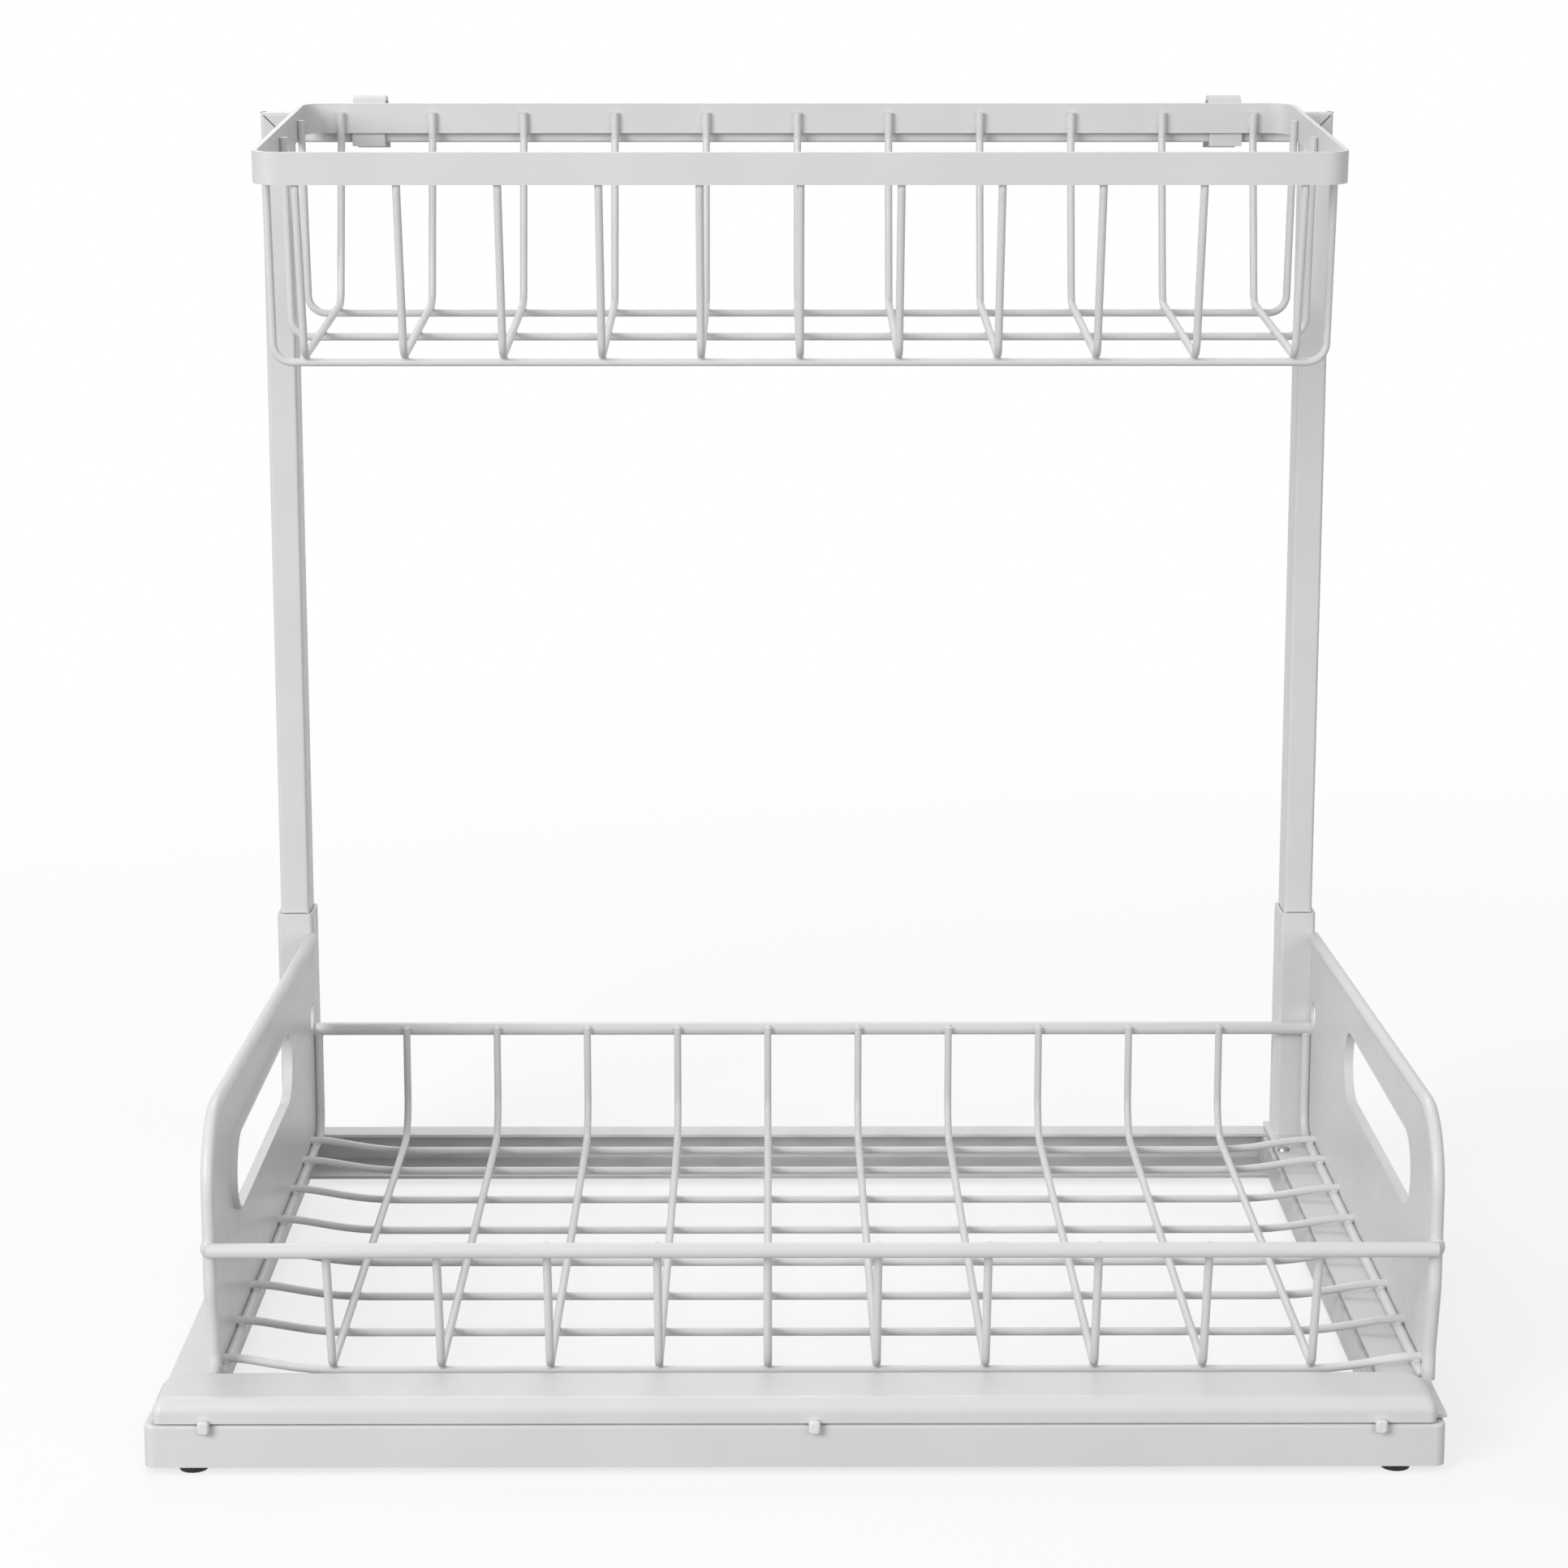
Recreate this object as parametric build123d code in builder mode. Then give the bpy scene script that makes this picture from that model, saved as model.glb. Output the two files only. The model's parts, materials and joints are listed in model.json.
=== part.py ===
from build123d import *
import os
from math import cos, radians, sin, sqrt, tan

# A two-tier pull-out basket for a kitchen cabinet. A low steel base carries two channel rails;
# a wire drawer rolls out over it, and a small wire basket hangs on a tube frame at the drawer's
# back. Millimetres. X runs to the right, -Y towards the user, +Z up. The origin lies on the
# floor, in the middle of the base.

os.makedirs("parts", exist_ok=True)

# ---- Base ----
base_width = 370.0
base_depth = 304.0
base_height = 12.5
sheet = 1.0
base_corner = 3.0
base_roll = 1.0
front_flange = 12.0
rear_top_flange = 11.0
rear_bottom_flange = 24.0
foot_height = 2.0
foot_diameter = 9.5
foot_flat = 8.0
foot_inset_x = 13.5
foot_inset_y = 5.2
rail_width = 14.0
rail_lip = 2.0
screw_hole = 4.5
screw_pitch = 220.0
rivet_shank = 4.0
rivet_head = 6.0
rivet_head_height = 1.0
rivet_inset = 7.5
rivet_offset = 2.5

# ---- Rollers, stops and hangers ----
axle = 3.0
axle_head = 4.6
axle_head_height = 0.6
axle_fit = 0.05
roller_chamfer = 0.5
front_roller = 10.0
front_roller_width = 6.5
front_roller_inset = 19.0
front_roller_gap = 0.05
rear_roller = 8.2
rear_roller_width = 4.2
rear_roller_inset = 32.0
rear_roller_gap = 0.05
hanger_sheet = 1.5
hanger_width = 7.0
hanger_tab_width = 5.0
hanger_tab_length = 16.0
hanger_tab_sheet = 1.0
hanger_side_gap = 0.1
hanger_rivet = 2.6
hanger_rivet_head = 4.4
hanger_rivet_pitch = 9.0
stop_setback = 12.0
stop_gap = 0.4
buffer_length = 5.0
buffer_height = 8.0
buffer_round = 1.2

# ---- Drawer ----
drawer_shift = 2.5
glide_gap = 0.5
foot_flange = 14.5
flange_front_gap = 4.0
sleeve_wall = 1.1
sleeve_fit = 0.1
sleeve_height = 81.1
sleeve_corner = 1.5
edge_rod = 4.0
panel_inset = 28.0
panel_toe = 5.5
panel_toe_height = 8.5
panel_knee_height = 29.5
panel_rear_height = 72.5
panel_front_height = 80.0
panel_top_bend = 22.0
panel_knee_bend = 14.0
panel_toe_bend = 7.0
handle_length = 134.0
handle_height = 23.5
handle_setback = 138.6
handle_level = 49.8
handle_rim = 2.0
panel_hole = 9.5
panel_hole_inset = 7.6
panel_hole_level = 46.0
cross_rod = 4.5
front_rod_level = 42.5
rear_rod_level = 40.0
side_wire = 3.0
side_wire_bend = 8.0
thin_wire = 2.5
weld_bite = 0.05
floor_gap = 0.55
long_wires = 10
long_wire_margin = 33.0
long_wire_lean = 15.5
long_wire_front_bend = 3.5
long_wire_rear_bend = 14.0
cross_wire_pitch = 33.6
cross_wire_seat = 5.0
cross_wire_ramp = 27.0
cross_wire_seat_bend = 45.0
cross_wire_floor_bend = 110.0

# ---- Front cover ----
cover_end_inset = 2.5
cover_depth = 26.3
cover_overhang = 0.3
cover_height = 6.9
cover_gap = 0.6
cover_ridge = 4.0
cover_front_corner = 2.5
cover_rear_corner = 8.0
cover_foot = 12.0
cover_rivet_inset = 20.0
bumper_width = 3.3
bumper_height = 4.2
bumper_depth = 2.2
bumper_round = 0.8
bumper_lap = 1.4
bumper_inset = 15.6
bumper_shift = -0.7
bumper_middle_shift = 6.2

# ---- Frame ----
post_width = 10.0
post_depth = 15.0
post_wall = 1.0
post_corner = 1.2
frame_height = 359.6

# ---- Upper basket ----
basket_tilt = 5.15
rim_end_inset = 14.25
rim_depth = 138.0
rim_height = 9.9
rim_sheet = 1.5
rim_corner = 8.0
upper_wires = 11
upper_wire_margin = 13.5
upper_wire_top = 3.0
upper_wire_drop = 12.0
upper_wire_depth = 64.85
upper_rear_draft = 17.25
upper_front_draft = 9.45
upper_bottom_bend = 6.0
upper_shoulder_bend = 4.0
under_wires = 3
under_wire_draft = 0.5
under_wire_bend = 6.0
under_wire_inset = 5.1
hook_width = 11.0
hook_sheet = 1.5
hook_inside = 16.4
hook_level = 8.2
hook_leg = 8.8
hook_tab = 6.3
hook_seat_gap = 0.05
hook_inset = 22.45

# ---- Places worked out from the sizes ----
SIDES = {"left": -1, "right": 1}

base_bottom = foot_height
base_top = base_bottom + base_height
base_front_y = -base_depth / 2
base_rear_y = base_depth / 2
floor_under = base_bottom + sheet
rail_height = base_height - 2 * sheet
rail_inside = floor_under + sheet
rail_length = base_depth - 2 * base_corner
rail_spacing = base_width - 2 * sheet - rail_width
rail_x = {side: hand * rail_spacing / 2 for side, hand in SIDES.items()}
rivet_y = base_depth / 2 - rivet_inset

flange_bottom = base_top + glide_gap
flange_top = flange_bottom + sheet
front_roller_y = base_front_y + front_roller_inset
front_roller_z = flange_bottom - front_roller_gap - front_roller / 2
rear_roller_y = base_rear_y - rear_roller_inset
rear_roller_z = rail_inside + rear_roller_gap + rear_roller / 2
stop_y = front_roller_y + stop_setback
buffer_y = rear_roller_y + rear_roller / 2 + stop_gap

sleeve_width = post_width + 2 * (sleeve_fit + sleeve_wall)
sleeve_depth = post_depth + 2 * (sleeve_fit + sleeve_wall)
sleeve_x = {side: x + drawer_shift for side, x in rail_x.items()}
sleeve_y = base_rear_y - sleeve_depth / 2
sleeve_front_y = base_rear_y - sleeve_depth
web_right_x = {side: x + sleeve_width / 2 for side, x in sleeve_x.items()}
web_x = {side: x - sheet / 2 for side, x in web_right_x.items()}
flange_front_y = base_front_y + flange_front_gap
panel_front_y = base_front_y + panel_inset
toe_y = panel_front_y + panel_toe
drawer_x = (web_x["left"] + web_x["right"]) / 2
inner_left = web_right_x["left"]
inner_right = web_right_x["right"] - sheet

rod_to_wire = (cross_rod + thin_wire) / 2 - weld_bite
front_rod_y = panel_front_y - (edge_rod + cross_rod) / 2 + weld_bite
front_rod_z = flange_top + front_rod_level
rear_rod_y = sleeve_front_y - cross_rod / 2
rear_rod_z = flange_top + rear_rod_level
side_wire_z = flange_top + side_wire / 2
cross_wire_z = base_top + floor_gap + thin_wire / 2
floor_wire_z = cross_wire_z + thin_wire - weld_bite
wire_lean = radians(long_wire_lean)
wire_top_y = front_rod_y + rod_to_wire / cos(wire_lean)
wire_corner_y = wire_top_y + (front_rod_z - floor_wire_z) * tan(wire_lean)
wire_corner_run = long_wire_front_bend * tan((radians(90) - wire_lean) / 2)
wire_rear_y = rear_rod_y - rod_to_wire

frame_top = flange_top + frame_height
post_front_y = sleeve_y - post_depth / 2
bar_left = sleeve_x["left"] - post_width / 2
bar_right = sleeve_x["right"] + post_width / 2


def save(solid, name):
    """Labels a finished piece and writes its file."""
    solid.label = name
    export_step(solid, f"parts/{name}.step")


def bent_wire(plane, points, bends, diameter):
    """Round wire lying in one plane: straight runs joined by bends."""
    with BuildPart() as wire:
        with BuildLine(plane) as path:
            FilletPolyline(*points, radius=bends)
        with BuildSketch(Plane(origin=path.line @ 0, z_dir=path.line % 0)):
            Circle(diameter / 2)
        sweep()
    return wire.part


# ---- Base members ----
def base_member(face_y, inward, top_depth, bottom_depth):
    """Folded cross member: upright web, two flanges turned inward and a return at each end."""
    outer_group = 0 if inward > 0 else -1
    with BuildPart() as member:
        with BuildSketch(Plane.XY.offset(base_bottom)):
            with Locations((0, face_y + inward * bottom_depth / 2)):
                Rectangle(base_width, bottom_depth)
            fillet(vertices().group_by(Axis.Y)[outer_group], base_corner)
        extrude(amount=base_height)
        top_edges = edges().group_by(Axis.Z)[-1]
        fillet(top_edges.group_by(Axis.Y)[outer_group], base_roll)
        with BuildSketch(Plane.XY.offset(floor_under)):
            with Locations((0, face_y + inward * (sheet + bottom_depth / 2))):
                Rectangle(base_width - 2 * sheet, bottom_depth)
            fillet(vertices().group_by(Axis.Y)[outer_group], base_corner - sheet)
        extrude(amount=rail_height, mode=Mode.SUBTRACT)
        with BuildSketch(Plane.XY.offset(base_top - sheet)):
            with Locations((0, face_y + inward * (top_depth + bottom_depth / 2))):
                Rectangle(base_width, bottom_depth)
        extrude(amount=sheet, mode=Mode.SUBTRACT)
        with BuildSketch(Plane.XY.offset(base_bottom)):
            for side, hand in SIDES.items():
                with Locations((rail_x[side] + hand * rivet_offset, -inward * rivet_y)):
                    Circle(rivet_shank / 2)
        extrude(amount=sheet, mode=Mode.SUBTRACT)
    return member.part


save(base_member(base_front_y, 1, front_flange, front_flange), "base_front")
save(base_member(base_rear_y, -1, rear_top_flange, rear_bottom_flange), "base_rear")


# ---- Rails and what is fixed in them ----
def rail(x, hand):
    """Channel with in-turned lips, holes for its axle and stop pin, rivets and two floor screws."""
    slot = rail_width - 2 * (sheet + rail_lip)
    with BuildPart() as channel:
        with BuildSketch(Plane.XZ.offset(rail_length / 2)):
            with Locations((x, floor_under + rail_height / 2)):
                Rectangle(rail_width, rail_height)
                Rectangle(rail_width - 2 * sheet, rail_height - 2 * sheet, mode=Mode.SUBTRACT)
            with Locations((x, floor_under + rail_height - sheet / 2)):
                Rectangle(slot, sheet, mode=Mode.SUBTRACT)
        extrude(amount=-rail_length)
        with BuildSketch(Plane.XY.offset(floor_under)):
            with Locations((x, 0)):
                with GridLocations(1, screw_pitch, 1, 2):
                    Circle(screw_hole / 2)
            with Locations((x + hand * rivet_offset, 0)):
                with GridLocations(1, 2 * rivet_y, 1, 2):
                    Circle(rivet_shank / 2)
        extrude(amount=sheet, mode=Mode.SUBTRACT)
        with BuildSketch(Plane.YZ.offset(x - rail_width / 2)):
            with Locations((front_roller_y, front_roller_z), (stop_y, rear_roller_z)):
                Circle(axle / 2)
        extrude(amount=rail_width, mode=Mode.SUBTRACT)
    return channel.part


def headed_pin(x, y, z, grip):
    """Pin along X with a low head at each end; grip is the length between the heads."""
    with BuildPart() as pin:
        with BuildSketch(Plane.YZ.offset(x - grip / 2)):
            with Locations((y, z)):
                Circle(axle / 2)
        extrude(amount=grip)
        for start in (x - grip / 2 - axle_head_height, x + grip / 2):
            with BuildSketch(Plane.YZ.offset(start)):
                with Locations((y, z)):
                    Circle(axle_head / 2)
            extrude(amount=axle_head_height)
    return pin.part


def roller(x_start, width, y, z, diameter):
    """Plain nylon roller with eased rims, bored to run on its axle."""
    with BuildPart() as wheel:
        with BuildSketch(Plane.YZ.offset(x_start)):
            with Locations((y, z)):
                Circle(diameter / 2)
        extrude(amount=width)
        chamfer(edges().filter_by(GeomType.CIRCLE), roller_chamfer)
        with BuildSketch(Plane.YZ.offset(x_start)):
            with Locations((y, z)):
                Circle(axle / 2 + axle_fit)
        extrude(amount=width, mode=Mode.SUBTRACT)
    return wheel.part


def buffer(x):
    """Rubber block at the back of the rail, where the rear rollers come to rest."""
    with BuildPart() as block:
        with BuildSketch(Plane.XY.offset(rail_inside)):
            with Locations((x, buffer_y + buffer_length / 2)):
                Rectangle(rail_width - 2 * sheet, buffer_length)
        extrude(amount=buffer_height)
        fillet(edges().filter_by(Axis.X).group_by(Axis.Z)[-1], buffer_round)
    return block.part


for side, x in rail_x.items():
    save(rail(x, SIDES[side]), f"rail_{side}")
    save(headed_pin(x, front_roller_y, front_roller_z, rail_width), f"front_axle_{side}")
    front_start = x - front_roller_width / 2
    save(
        roller(front_start, front_roller_width, front_roller_y, front_roller_z, front_roller),
        f"front_roller_{side}",
    )
    save(buffer(x), f"buffer_{side}")

with BuildPart() as stop_pins:
    for x in rail_x.values():
        add(headed_pin(x, stop_y, rear_roller_z, rail_width))
save(stop_pins.part, "stop_pins")

rivet_places = [
    (rail_x[side] + hand * rivet_offset, end * rivet_y)
    for side, hand in SIDES.items()
    for end in (-1, 1)
]
with BuildPart() as frame_rivets:
    with BuildSketch(Plane.XY.offset(base_bottom)):
        with Locations(*rivet_places):
            Circle(rivet_shank / 2)
    extrude(amount=2 * sheet)
    with BuildSketch(Plane.XY.offset(rail_inside)):
        with Locations(*rivet_places):
            Circle(rivet_head / 2)
    extrude(amount=rivet_head_height, taper=20)
save(frame_rivets.part, "frame_rivets")


def foot(x, y):
    """Low rubber pad that narrows to a flat to stand on."""
    with BuildPart() as pad:
        with BuildSketch(Plane.XY.offset(base_bottom)):
            with Locations((x, y)):
                Circle(foot_diameter / 2)
        with BuildSketch(Plane.XY):
            with Locations((x, y)):
                Circle(foot_flat / 2)
        loft()
    return pad.part


for side, hand in SIDES.items():
    foot_x = hand * (base_width / 2 - foot_inset_x)
    save(foot(foot_x, base_front_y + foot_inset_y), f"foot_front_{side}")
    save(foot(foot_x, base_rear_y - foot_inset_y), f"foot_rear_{side}")


# ---- Rear rollers and their hangers ----
def rear_rollers(x):
    """Two rollers on one axle, one on each side of the hanger."""
    offset_x = hanger_sheet / 2 + hanger_side_gap
    with BuildPart() as pair:
        for start in (x + offset_x, x - offset_x - rear_roller_width):
            add(roller(start, rear_roller_width, rear_roller_y, rear_roller_z, rear_roller))
    return pair.part


def hanger(x):
    """Bent plate that reaches through the rail's slot, with a tab under the drawer's flange."""
    left = x - hanger_sheet / 2
    with BuildPart() as plate:
        with BuildSketch(Plane.YZ.offset(left)):
            with Locations((rear_roller_y, (rear_roller_z + flange_bottom) / 2)):
                Rectangle(hanger_width, flange_bottom - rear_roller_z)
            with Locations((rear_roller_y, rear_roller_z)):
                Circle(hanger_width / 2)
        extrude(amount=hanger_sheet)
        with BuildSketch(Plane.XY.offset(flange_bottom)):
            with Locations((left - hanger_tab_width / 2, rear_roller_y)):
                Rectangle(hanger_tab_width, hanger_tab_length)
                with GridLocations(1, hanger_rivet_pitch, 1, 2):
                    Circle(hanger_rivet / 2, mode=Mode.SUBTRACT)
        extrude(amount=-hanger_tab_sheet)
        with BuildSketch(Plane.YZ.offset(left)):
            with Locations((rear_roller_y, rear_roller_z)):
                Circle(axle / 2)
        extrude(amount=hanger_sheet, mode=Mode.SUBTRACT)
    return plate.part


for side, x in rail_x.items():
    save(hanger(x), f"hanger_{side}")
    save(rear_rollers(x), f"rear_rollers_{side}")

rear_axle_grip = hanger_sheet + 2 * (2 * hanger_side_gap + rear_roller_width)
with BuildPart() as rear_axles:
    for x in rail_x.values():
        add(headed_pin(x, rear_roller_y, rear_roller_z, rear_axle_grip))
save(rear_axles.part, "rear_axles")

# ---- Drawer sides ----
edge_points = [
    (sleeve_front_y, flange_top + panel_rear_height),
    (panel_front_y, flange_top + panel_front_height),
    (panel_front_y, flange_top + panel_knee_height),
    (toe_y, flange_top + panel_toe_height),
    (toe_y, flange_top),
]
edge_bends = [panel_top_bend, panel_knee_bend, panel_toe_bend]
hanger_rivet_x = {side: x - (hanger_sheet + hanger_tab_width) / 2 for side, x in rail_x.items()}
cover_rivet_y = base_front_y + cover_rivet_inset


def side_panel(side, rod):
    """Pressed sheet: an upright web with a rimmed handle slot, and a foot flange turned left.
    One pressing serves both sides, so both flanges point the same way."""
    right = web_right_x[side]
    flange_length = base_rear_y - flange_front_y
    handle_place = (base_front_y + handle_setback, flange_top + handle_level)
    with BuildPart() as panel:
        with BuildSketch(Plane.YZ.offset(right - sheet)):
            with BuildLine():
                FilletPolyline(*edge_points, radius=edge_bends)
                Polyline(
                    edge_points[-1],
                    (toe_y, flange_bottom),
                    (sleeve_front_y, flange_bottom),
                    edge_points[0],
                )
            make_face()
        extrude(amount=sheet)
        with BuildSketch(Plane.XY.offset(flange_bottom)):
            with Locations((right - foot_flange / 2, base_rear_y - flange_length / 2)):
                Rectangle(foot_flange, flange_length)
            with Locations((hanger_rivet_x[side], rear_roller_y)):
                with GridLocations(1, hanger_rivet_pitch, 1, 2):
                    Circle(hanger_rivet / 2, mode=Mode.SUBTRACT)
            with Locations((rail_x[side], cover_rivet_y)):
                Circle(hanger_rivet / 2, mode=Mode.SUBTRACT)
        extrude(amount=sheet)
        with BuildSketch(Plane.YZ.offset(right)):
            with Locations(handle_place):
                SlotOverall(handle_length + 2 * sheet, handle_height + 2 * sheet)
        extrude(amount=handle_rim)
        with BuildSketch(Plane.YZ.offset(right - sheet)):
            with Locations(handle_place):
                SlotOverall(handle_length, handle_height)
            with Locations((sleeve_front_y - panel_hole_inset, flange_top + panel_hole_level)):
                Circle(panel_hole / 2)
        extrude(amount=sheet + handle_rim, mode=Mode.SUBTRACT)
        add(rod, mode=Mode.SUBTRACT)
    return panel.part


def sleeve(x):
    """Socket for a post, standing on the foot flange behind the panel."""
    with BuildPart() as tube:
        with BuildSketch(Plane.XY.offset(flange_top)):
            with Locations((x, sleeve_y)):
                RectangleRounded(sleeve_width, sleeve_depth, sleeve_corner)
                bore_width = sleeve_width - 2 * sleeve_wall
                bore_depth = sleeve_depth - 2 * sleeve_wall
                Rectangle(bore_width, bore_depth, mode=Mode.SUBTRACT)
        extrude(amount=sleeve_height)
    return tube.part


side_wire_points = [
    (toe_y + edge_rod / 2, side_wire_z),
    (rear_rod_y, side_wire_z),
    (rear_rod_y, rear_rod_z - cross_rod / 2 + weld_bite),
]

for side, hand in SIDES.items():
    rod = bent_wire(Plane.YZ.offset(web_x[side]), edge_points, edge_bends, edge_rod)
    save(side_panel(side, rod), f"side_panel_{side}")
    save(rod, f"edge_rod_{side}")
    save(sleeve(sleeve_x[side]), f"sleeve_{side}")
    wire_plane = Plane.YZ.offset(web_x[side] - hand * (sheet + side_wire) / 2)
    save(bent_wire(wire_plane, side_wire_points, [side_wire_bend], side_wire), f"side_wire_{side}")

# ---- Front cover ----
cover_width = base_width - 2 * cover_end_inset
cover_bottom = base_top + cover_gap
cover_top = cover_bottom + cover_height
cover_front_y = base_front_y - cover_overhang
cover_mid_y = cover_front_y + cover_depth / 2
cavity_width = cover_width - 2 * sheet

with BuildPart() as front_cover:
    with BuildSketch(Plane.XY.offset(cover_bottom)):
        with Locations((0, cover_mid_y)):
            Rectangle(cover_width, cover_depth)
        fillet(vertices().group_by(Axis.Y)[0], cover_front_corner)
        fillet(vertices().group_by(Axis.Y)[-1], cover_rear_corner)
    extrude(amount=cover_height)
    fillet(edges().group_by(Axis.Z)[-1].group_by(Axis.Y)[0], cover_ridge)
    with BuildSketch(Plane.XY.offset(cover_bottom)):
        with Locations((0, cover_mid_y + sheet)):
            Rectangle(base_width, cover_depth)
    extrude(amount=flange_top - cover_bottom, mode=Mode.SUBTRACT)
    with BuildSketch(Plane.XY.offset(flange_top)):
        with Locations((0, cover_mid_y - cover_foot / 2)):
            Rectangle(cavity_width, cover_depth - 2 * sheet - cover_foot)
        fillet(vertices().group_by(Axis.Y)[0], cover_front_corner - sheet)
        with Locations(*[(x, cover_rivet_y) for x in rail_x.values()]):
            Circle(hanger_rivet / 2)
    extrude(amount=sheet, mode=Mode.SUBTRACT)
    with BuildSketch(Plane.XY.offset(flange_top + sheet)):
        with Locations((0, cover_mid_y)):
            Rectangle(cavity_width, cover_depth - 2 * sheet)
        fillet(vertices().group_by(Axis.Y)[0], cover_front_corner - sheet)
        fillet(vertices().group_by(Axis.Y)[-1], cover_rear_corner - sheet)
    extrude(amount=cover_top - cover_ridge - flange_top - sheet, mode=Mode.SUBTRACT)
    with BuildSketch(Plane.XY.offset(cover_top - cover_ridge)):
        with Locations((0, cover_mid_y + (cover_ridge - sheet) / 2)):
            Rectangle(cavity_width, cover_depth - sheet - cover_ridge)
        fillet(vertices().group_by(Axis.Y)[-1], cover_rear_corner - sheet)
    extrude(amount=cover_ridge - sheet, mode=Mode.SUBTRACT)
save(front_cover.part, "front_cover")


def bumper(x):
    """Soft pad on the cover's lower edge, hanging just in front of the base."""
    with BuildPart() as pad:
        with BuildSketch(Plane.XZ.offset(-cover_front_y)):
            with Locations((x, cover_bottom + bumper_lap - bumper_height / 2)):
                RectangleRounded(bumper_width, bumper_height, bumper_width / 3)
        extrude(amount=bumper_depth)
        fillet(edges().group_by(Axis.Y)[0], bumper_round)
    return pad.part


bumper_reach = cover_width / 2 - bumper_inset
save(bumper(bumper_shift - bumper_reach), "bumper_left")
save(bumper(bumper_shift + bumper_middle_shift), "bumper_middle")
save(bumper(bumper_shift + bumper_reach), "bumper_right")

hanger_rivet_places = [
    (hanger_rivet_x[side], rear_roller_y + step * hanger_rivet_pitch / 2)
    for side in SIDES
    for step in (-1, 1)
]
cover_rivet_places = [(x, cover_rivet_y) for x in rail_x.values()]
with BuildPart() as drawer_rivets:
    with BuildSketch(Plane.XY.offset(flange_bottom - hanger_tab_sheet)):
        with Locations(*hanger_rivet_places):
            Circle(hanger_rivet / 2)
    extrude(amount=hanger_tab_sheet + sheet)
    with BuildSketch(Plane.XY.offset(flange_top)):
        with Locations(*hanger_rivet_places):
            Circle(hanger_rivet_head / 2)
    extrude(amount=rivet_head_height, taper=20)
    with BuildSketch(Plane.XY.offset(flange_bottom)):
        with Locations(*cover_rivet_places):
            Circle(hanger_rivet / 2)
    extrude(amount=2 * sheet)
    with BuildSketch(Plane.XY.offset(flange_top + sheet)):
        with Locations(*cover_rivet_places):
            Circle(hanger_rivet_head / 2)
    extrude(amount=rivet_head_height, taper=20)
save(drawer_rivets.part, "drawer_rivets")


# ---- Drawer wirework ----
def straight_rod(x_start, x_end, y, z):
    with BuildPart() as rod:
        with BuildSketch(Plane.YZ.offset(x_start)):
            with Locations((y, z)):
                Circle(cross_rod / 2)
        extrude(amount=x_end - x_start)
    return rod.part


save(straight_rod(web_x["left"], web_x["right"], front_rod_y, front_rod_z), "front_rail")
save(straight_rod(inner_left, inner_right, rear_rod_y, rear_rod_z), "rear_rail")

floor_points = [
    (wire_top_y, front_rod_z),
    (wire_corner_y, floor_wire_z),
    (wire_rear_y, floor_wire_z),
    (wire_rear_y, rear_rod_z + cross_rod / 4),
]
floor_bends = [long_wire_front_bend, long_wire_rear_bend]
long_wire_pitch = (inner_right - inner_left - 2 * long_wire_margin) / (long_wires - 1)
for number in range(long_wires):
    x = drawer_x + (number - (long_wires - 1) / 2) * long_wire_pitch
    wire = bent_wire(Plane.YZ.offset(x), floor_points, floor_bends, thin_wire)
    save(wire, f"floor_wire_{number + 1:02d}")

ramp_top_z = side_wire_z + (side_wire + thin_wire) / 2 - weld_bite
cross_points = [
    (inner_left, ramp_top_z),
    (inner_left + cross_wire_seat, ramp_top_z),
    (inner_left + cross_wire_ramp, cross_wire_z),
    (inner_right - cross_wire_ramp, cross_wire_z),
    (inner_right - cross_wire_seat, ramp_top_z),
    (inner_right, ramp_top_z),
]
cross_bends = [cross_wire_seat_bend, cross_wire_floor_bend, cross_wire_floor_bend, cross_wire_seat_bend]
first_cross_y = wire_corner_y + wire_corner_run
last_cross_y = wire_rear_y - long_wire_rear_bend
cross_steps = round((last_cross_y - first_cross_y) / cross_wire_pitch)
cross_places = [first_cross_y + number * cross_wire_pitch for number in range(cross_steps)]
cross_places.append(last_cross_y)
with BuildPart() as cross_wire_set:
    for y in cross_places:
        add(bent_wire(Plane.XZ.offset(-y), cross_points, cross_bends, thin_wire))
save(cross_wire_set.part, "cross_wires")


# ---- Upper frame ----
def post(side):
    """Tube standing in its sleeve, mitred at the top to meet the bar."""
    hand = SIDES[side]
    outer = sleeve_x[side] + hand * post_width / 2
    inner = sleeve_x[side] - hand * post_width / 2
    with BuildPart() as tube:
        with BuildSketch(Plane.XZ.offset(-post_front_y)):
            with BuildLine():
                Polyline(
                    (outer, flange_top),
                    (outer, frame_top),
                    (inner, frame_top - post_width),
                    (inner, flange_top),
                    close=True,
                )
            make_face()
        extrude(amount=-post_depth)
        fillet(edges().filter_by(Axis.Z), post_corner)
        with BuildSketch(Plane.XZ.offset(-post_front_y - post_wall)):
            with BuildLine():
                Polyline(
                    (outer - hand * post_wall, flange_top),
                    (outer - hand * post_wall, frame_top - post_wall),
                    (inner + hand * post_wall, frame_top - post_width + post_wall),
                    (inner + hand * post_wall, flange_top),
                    close=True,
                )
            make_face()
        extrude(amount=2 * post_wall - post_depth, mode=Mode.SUBTRACT)
    return tube.part


for side in SIDES:
    save(post(side), f"post_{side}")

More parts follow.
